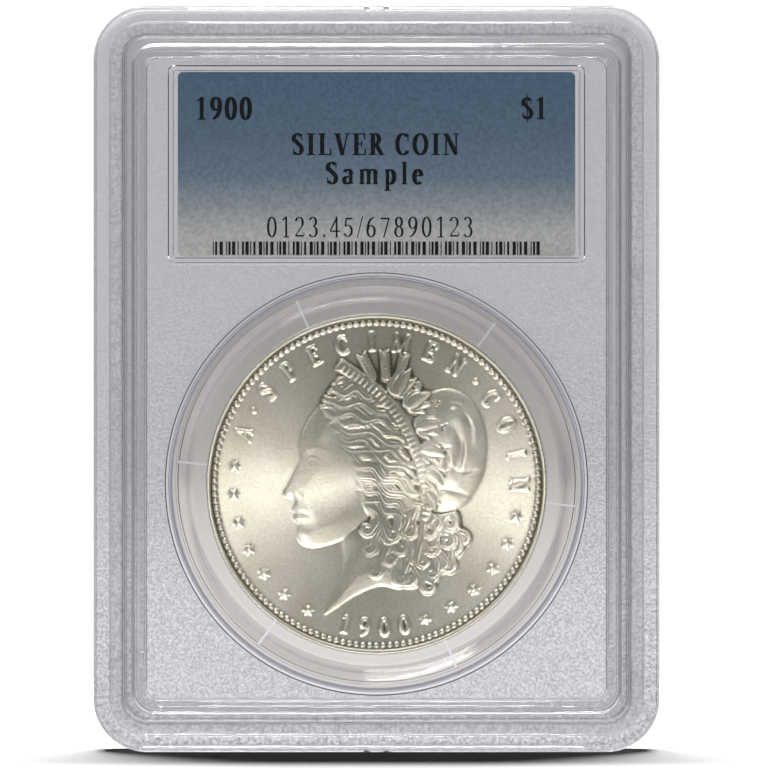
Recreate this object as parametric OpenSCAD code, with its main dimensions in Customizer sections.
// Graded coin slab: a sealed clear case that holds one silver dollar in a finger ring
// under a printed label card. It stands on its bottom edge, with its face towards -Y.
// Every piece is drawn lying down (x across, y up the case, z towards the viewer) and
// is then stood up by upright().

/* [Case] */
// Width of the case
case_w = 63.2; // [62.6:0.1:66]
// Height of the case
case_h = 83.3; // [82.6:0.1:88]
// Thickness over the front ridge and the rear lip
case_t = 8.0; // [7.8:0.1:9]
// Radius of the outer corners
corner_r = 6.0; // [5:0.1:7]
// Thickness of the front and rear windows
window_t = 1.2; // [1:0.05:1.3]

/* [Stacking frame] */
// How far the front ridge stands above the shoulder round it
stack_step = 1.0; // [0.6:0.1:1.2]
// Width of the shoulder outside the ridge
shoulder_w = 1.9; // [1.6:0.1:2.2]
// Distance from the outer edge to the ridge's inner side
ridge_in = 4.5; // [4.2:0.1:4.8]
// Distance from the outer edge to the window
window_in = 5.75; // [5.4:0.05:6]
// Play between the ridge and the groove of the next case
stack_play = 0.1; // [0.05:0.05:0.2]

/* [Coin] */
// Diameter of the coin
coin_d = 38.1; // [37.6:0.1:38.4]
// Thickness of the coin over its rims
coin_t = 2.4; // [2:0.1:2.6]
// Number of reeds round the coin's edge
reed_n = 189; // [150:1:200]
// Height of the coin's centre above the bottom edge
coin_y = 29.9; // [29.8:0.1:30.2]

/* [Coin ring] */
// Outer diameter of the ring
ring_d = 46.2; // [45.8:0.1:46.4]
// Number of fingers that grip the coin
finger_n = 6; // [4:1:8]
// Width of the slits between the fingers
slit_w = 0.25; // [0.2:0.05:0.5]

/* [Label] */
// Width of the label card
label_w = 44.4; // [43.6:0.1:44.6]
// Height of the label card
label_h = 20.6; // [20:0.1:20.8]
// Distance from the top edge of the case to the top of the label
label_drop = 7.35; // [7.2:0.05:7.4]
// Thickness of the label card
label_t = 0.3; // [0.2:0.05:0.35]

/* [Hidden] */
$fn = 96;

over = 1;                  // how far a cutting shape runs past the face it cuts
edge_steps = 5;            // flats across a rounded edge
shoulder_edge = 0.8;       // radii of the rounded edges
lip_edge = 0.8;
ridge_edge = 0.4;
air = 0.02;                // gap between pieces that touch or are fused together
half_t = case_t / 2;
shoulder_z = half_t - stack_step;
coin_gap = 0.2;            // from each face of the coin's rim to the window
cavity_z = coin_t / 2 + coin_gap;
window_z = cavity_z + window_t;
ledge_z = (window_z + half_t) / 2 + 0.1;
ledge_r = 2.5;
ridge_r = corner_r - shoulder_w;
window_r = ledge_r - (window_in - ridge_in);

// Straight ribs on the ledge, which stop short of the corners
rib_rise = 0.3;
rib_w = 0.6;
rib_len_x = 39.5;
rib_len_y = 60;
rib_y = case_h - 41.3;

// Side walls and the weld between the two shells
wall_w = 3.35;
wall_r = 2.65;
hollow_rise = 0.8;         // the hollow under the ridge goes this much deeper
weld_out = 1.95;
weld_in = 3.25;
weld_depth = 0.25;

// Gate marks in the middle of the top and bottom edges
gate_x = 1.1;
gate_notch_w = 0.6;
gate_notch_d = 0.4;
gate_z = 0.8;

// Ribs that locate the ring and the label
seat_gap = 0.1;
seat_w = 0.45;
pocket_w = label_w + 2.2;
pocket_h = label_h + 1.5;
pocket_wall = 0.6;
pocket_r = 0.7;
support_play = 0.1;        // between the pocket rib and the support frame inside it
support_w = pocket_w - 2 * (pocket_wall + support_play);
support_h = pocket_h - 2 * (pocket_wall + support_play);
support_wall = 0.8;
support_r = 0.6;
label_r = 0.6;
label_front = cavity_z - 0.15;
label_back = label_front - label_t;
label_y = case_h - label_drop - label_h / 2;

// Coin
reed_depth = 0.12;
rim_w = 1.1;
field_depth = 0.4;
motif_d = 29;
motif_rise = 0.25;

// Ring
ring_r = ring_d / 2;
hoop_w = 0.7;
hoop_z = cavity_z - 0.05;
finger_z = 0.45;           // half the fingers' thickness beside the coin
first_slit = 53.6;         // degrees from +x
bore_gap = 0.05;

// Hologram
seal_w = 38;
seal_h = 15;
seal_t = 0.06;
seal_r = 1;

module upright() rotate([90, 0, 0]) children();

module rounded_rect(w, h, r) {
    square([w - 2 * r, h], center = true);
    square([w, h - 2 * r], center = true);
    for (sx = [-1, 1], sy = [-1, 1])
        translate([sx * (w / 2 - r), sy * (h / 2 - r)]) circle(r);
}

// A plate with the case's outline, moved in by inset, from z0 to z1
module case_plate(inset, r, z0, z1) {
    translate([0, case_h / 2, z0])
        linear_extrude(z1 - z0)
            rounded_rect(case_w - 2 * inset, case_h - 2 * inset, r);
}

// A wall along the case's outline, between two insets
module case_band(inset_a, r_a, inset_b, r_b, z0, z1) {
    difference() {
        case_plate(inset_a, r_a, z0, z1);
        case_plate(inset_b, r_b, z0 - over, z1 + over);
    }
}

// Sweeps a profile round the case's outline, moved in by inset. The profile's x runs
// outwards from the centre of the corner arc and its y is the height.
module case_sweep(inset, r) {
    half_w = case_w / 2 - inset - r;
    half_h = case_h / 2 - inset - r;
    translate([0, case_h / 2, 0])
        for (turn = [0, 1])
            rotate(turn * 180) {
                translate([half_w, half_h, 0]) rotate_extrude(angle = 90) children();
                translate([-half_w, half_h, 0]) rotate(90) rotate_extrude(angle = 90) children();
                translate([half_w, 0, 0])
                    rotate([90, 0, 0]) linear_extrude(2 * half_h, center = true) children();
                rotate(90) translate([half_h, 0, 0])
                    rotate([90, 0, 0]) linear_extrude(2 * half_w, center = true) children();
            }
}

// The waste outside a rounded edge whose face is at height 0
module edge_profile(r, edge) {
    polygon([
        [r - edge, over], [r + over, over], [r + over, -edge],
        for (i = [0 : edge_steps])
            let (a = i * 90 / edge_steps)
                [r - edge + edge * cos(a), -edge + edge * sin(a)]
    ]);
}

// Takes the sharp outer edge off a face at height z that looks up (side 0) or down (side 1)
module edge_cut(inset, r, z, edge, side) {
    translate([0, 0, z]) mirror([0, 0, side]) case_sweep(inset, r) edge_profile(r, edge);
}

module weld_groove(play) {
    case_band(weld_out - play, corner_r - weld_out + play, weld_in + play, corner_r - weld_in - play,
              -weld_depth - play, weld_depth + play);
}

// A rectangular wall round the label, w by h outside
module label_wall(w, h, wall, r, z0, z1) {
    translate([0, label_y, z0])
        linear_extrude(z1 - z0)
            difference() {
                rounded_rect(w, h, r);
                rounded_rect(w - 2 * wall, h - 2 * wall, max(r - wall, 0.3));
            }
}

module label_plate(w, h, r, z0, z1) {
    translate([0, label_y, z0]) linear_extrude(z1 - z0) rounded_rect(w, h, r);
}

module ring_wall(r_in, r_out, z0, z1) {
    translate([0, coin_y, z0])
        difference() {
            cylinder(r = r_out, h = z1 - z0);
            translate([0, 0, -over]) cylinder(r = r_in, h = z1 - z0 + 2 * over);
        }
}

module gate_notches(z0, z1) {
    for (edge = [0, case_h], side = [-1, 1])
        translate([side * gate_x, edge, (z0 + z1) / 2])
            cube([gate_notch_w, 2 * gate_notch_d, z1 - z0], center = true);
}

// Raised straight ribs on the front ledge, one along each side of the window
module ledge_ribs() {
    inset = window_in - rib_w / 2;
    for (side = [-1, 1]) {
        translate([side * (case_w / 2 - inset), rib_y, ledge_z])
            cube([rib_w, rib_len_y, 2 * rib_rise], center = true);
        translate([0, case_h / 2 + side * (case_h / 2 - inset), ledge_z])
            cube([rib_len_x, rib_w, 2 * rib_rise], center = true);
    }
}

module front_shell() {
    color([0.80, 0.79, 0.84, 0.35]) upright() {
        difference() {
            union() {
                difference() {
                    case_plate(0, corner_r, 0, shoulder_z);
                    edge_cut(0, corner_r, shoulder_z, shoulder_edge, 0);
                }
                difference() {
                    case_plate(shoulder_w, ridge_r, 0, half_t);
                    edge_cut(shoulder_w, ridge_r, half_t, ridge_edge, 0);
                }
            }
            case_plate(ridge_in, ledge_r, ledge_z, half_t + over);
            case_plate(window_in, window_r, window_z, half_t + over);
            case_plate(wall_w, wall_r, -over, cavity_z);
            case_band(wall_w, wall_r, ridge_in, ledge_r - 0.5, 0, cavity_z + hollow_rise);
            weld_groove(air);
            gate_notches(gate_z, shoulder_z + over);
        }
        ledge_ribs();
        label_wall(pocket_w, pocket_h, pocket_wall, pocket_r, 0.1, cavity_z);
        ring_wall(ring_r + seat_gap, ring_r + seat_gap + seat_w, 0.1, cavity_z);
    }
}

module rear_shell() {
    lip_z = -half_t;
    groove_z = -(shoulder_z + stack_play / 2);
    rear_ledge_z = -(shoulder_z + 0.2);
    color([0.80, 0.79, 0.84, 0.35]) upright() {
        difference() {
            case_plate(0, corner_r, lip_z, 0);
            edge_cut(0, corner_r, lip_z, lip_edge, 1);
            case_band(shoulder_w - stack_play, corner_r - shoulder_w + stack_play,
                      ridge_in + stack_play, ledge_r - stack_play, lip_z - over, groove_z);
            case_plate(ridge_in, ledge_r, lip_z - over, rear_ledge_z);
            case_plate(window_in, window_r, lip_z - over, -window_z);
            case_plate(wall_w, wall_r, -cavity_z, over);
            weld_groove(air);
        }
        label_wall(support_w, support_h, support_wall, support_r, -cavity_z, label_back - air);
        ring_wall(ring_r + seat_gap, ring_r + seat_gap + seat_w, -cavity_z, -0.1);
    }
}

module weld_seam() {
    color([0.86, 0.86, 0.90, 0.6]) upright() weld_groove(0);
}

// Half of the ring's section, from the coin's edge (left) to the outer side of the hoop
module ring_section() {
    bore = coin_d / 2 + bore_gap;
    hoop = ring_r - hoop_w;
    polygon([
        [bore, -finger_z], [hoop, -hoop_z + 0.1], [hoop, -hoop_z], [ring_r, -hoop_z],
        [ring_r, hoop_z], [hoop, hoop_z], [hoop, hoop_z - 0.1], [bore, finger_z]
    ]);
}

module coin_ring() {
    slit_len = ring_r - hoop_w - coin_d / 2 + over;
    color([0.78, 0.77, 0.78, 0.4]) upright() translate([0, coin_y, 0])
        difference() {
            rotate_extrude() ring_section();
            for (i = [0 : finger_n - 1])
                rotate(first_slit + i * 360 / finger_n)
                    translate([coin_d / 2 - over + slit_len / 2, 0, 0])
                        cube([slit_len, slit_w, 2 * hoop_z + over], center = true);
        }
}

// The coin's outline: a peak and a valley for each reed
module reeded_disc() {
    polygon([
        for (i = [0 : 2 * reed_n - 1])
            let (r = coin_d / 2 - (i % 2) * reed_depth, a = i * 180 / reed_n)
                [r * cos(a), r * sin(a)]
    ]);
}

module coin() {
    field_r = coin_d / 2 - rim_w;
    color([0.82, 0.81, 0.76]) upright() translate([0, coin_y, 0])
        union() {
            difference() {
                translate([0, 0, -coin_t / 2]) linear_extrude(coin_t) reeded_disc();
                for (side = [0, 1])
                    mirror([0, 0, side])
                        translate([0, 0, coin_t / 2 - field_depth])
                            cylinder(r = field_r, h = field_depth + over);
            }
            cylinder(d = motif_d, h = coin_t - 2 * (field_depth - motif_rise), center = true);
        }
}

module label_card() {
    color([0.38, 0.46, 0.54]) upright()
        label_plate(label_w, label_h, label_r, label_back, label_front);
}

module hologram_seal() {
    color([0.75, 0.78, 0.80]) upright()
        label_plate(seal_w, seal_h, seal_r, label_back - seal_t, label_back);
}

front_shell();
rear_shell();
weld_seam();
coin_ring();
coin();
label_card();
hologram_seal();
